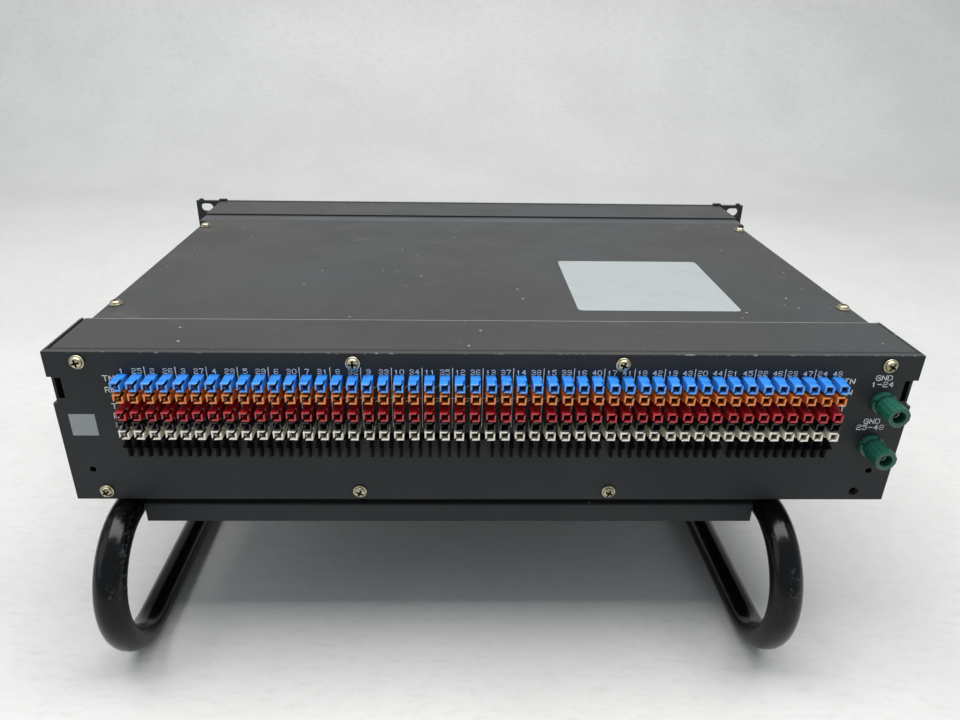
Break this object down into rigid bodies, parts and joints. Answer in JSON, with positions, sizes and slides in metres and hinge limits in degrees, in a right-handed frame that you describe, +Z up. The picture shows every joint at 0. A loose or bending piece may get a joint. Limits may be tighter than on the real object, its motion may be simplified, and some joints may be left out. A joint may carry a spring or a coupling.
{
  "type": "patch panel",
  "caption": "Rack-width jack patch panel with coloured rear punch-down terminals, ground posts and a wire comb, standing on tubular legs.",
  "frame": {"origin": "centre of the whole part's footprint, on the surface the leg tubes stand on", "axes": "+Z up, +Y from the rear terminals to the front jacks, +X to the right when looking at the rear face"},
  "size_m": [0.4826, 0.3656, 0.1843],
  "materials": {
    "powder_coat": "matte charcoal powder coat with fine specks",
    "gloss_paint": "gloss black paint on round tube",
    "black_plastic": "satin black moulded plastic",
    "green_plastic": "glossy green moulded plastic",
    "blue_plastic": "satin blue moulded plastic",
    "orange_plastic": "satin orange moulded plastic",
    "red_plastic": "satin red moulded plastic",
    "black_terminal_plastic": "satin black moulded plastic",
    "ivory_plastic": "satin ivory moulded plastic",
    "yellow_zinc": "pale yellow zinc plate",
    "nickel": "nickel plate",
    "brass": "bare brass",
    "laminate": "green circuit board laminate",
    "paper": "blank white paper strip",
    "ribbon": "grey ribbon cable jacket",
    "green_wire": "green wire insulation",
    "black_steel": "black oxide"
  },
  "bodies": {
    "patch_panel": {"rear_panel": "powder_coat", "top_cover": "powder_coat", "bottom_pan": "powder_coat", "left_side_plate": "powder_coat", "right_side_plate": "powder_coat", "front_frame": "powder_coat", "front_panel": "powder_coat", "shelf_plate": "powder_coat", "left_leg_tube": "gloss_paint", "right_leg_tube": "gloss_paint", "upper_jack_row": "black_plastic", "upper_strip_holder": "black_plastic", "upper_label_strip": "paper", "upper_harness": "ribbon", "upper_ground_bus": "brass", "upper_ground_lead": "green_wire", "upper_board_rail": "yellow_zinc", "upper_post_collar": "green_plastic", "upper_post_insulator": "green_plastic", "upper_post_stud": "nickel", "upper_post_lug": "nickel", "upper_post_nut": "yellow_zinc", "lower_jack_row": "black_plastic", "lower_strip_holder": "black_plastic", "lower_label_strip": "paper", "lower_harness": "ribbon", "lower_ground_bus": "brass", "lower_ground_lead": "green_wire", "lower_board_rail": "yellow_zinc", "lower_post_collar": "green_plastic", "lower_post_insulator": "green_plastic", "lower_post_stud": "nickel", "lower_post_lug": "nickel", "lower_post_nut": "yellow_zinc", "tip_normal_terminals": "blue_plastic", "ring_normal_terminals": "orange_plastic", "tip_terminals": "red_plastic", "ring_terminals": "black_terminal_plastic", "sleeve_terminals": "ivory_plastic", "wire_comb": "black_plastic", "terminal_board": "laminate", "rear_screw_1": "yellow_zinc", "rear_screw_2": "yellow_zinc", "rear_screw_3": "yellow_zinc", "rear_screw_4": "yellow_zinc", "rear_screw_5": "yellow_zinc", "rear_screw_6": "yellow_zinc", "rear_screw_7": "yellow_zinc", "cover_screw_1": "yellow_zinc", "front_screw_1": "black_steel", "cover_screw_2": "yellow_zinc", "front_screw_2": "black_steel", "cover_screw_3": "yellow_zinc", "front_screw_3": "black_steel", "cover_screw_4": "yellow_zinc", "front_screw_4": "black_steel"},
    "upper_knob_travel": {"upper_post_washer": "nickel"},
    "upper_knob": {"upper_post_knob": "green_plastic"},
    "lower_knob_travel": {"lower_post_washer": "nickel"},
    "lower_knob": {"lower_post_knob": "green_plastic"}
  },
  "joints": [
    {"name": "upper_knob_advance", "type": "slide", "parent": "patch_panel", "child": "upper_knob_travel", "axis": [0, -1, 0], "range_m": [0, 0.004]},
    {"name": "upper_knob_turn", "type": "hinge", "parent": "upper_knob_travel", "child": "upper_knob", "pos_m": [0.2034, -0.149, 0.1553], "axis": [0, -1, 0], "range_deg": [0, 1801]},
    {"name": "lower_knob_advance", "type": "slide", "parent": "patch_panel", "child": "lower_knob_travel", "axis": [0, -1, 0], "range_m": [0, 0.004]},
    {"name": "lower_knob_turn", "type": "hinge", "parent": "lower_knob_travel", "child": "lower_knob", "pos_m": [0.2034, -0.149, 0.1299], "axis": [0, -1, 0], "range_deg": [0, 1801]}
  ],
  "couplings": [
    {"joint": "upper_knob_turn", "follows": "upper_knob_advance", "rad_per_m": 7854},
    {"joint": "lower_knob_turn", "follows": "lower_knob_advance", "rad_per_m": 7854}
  ]
}
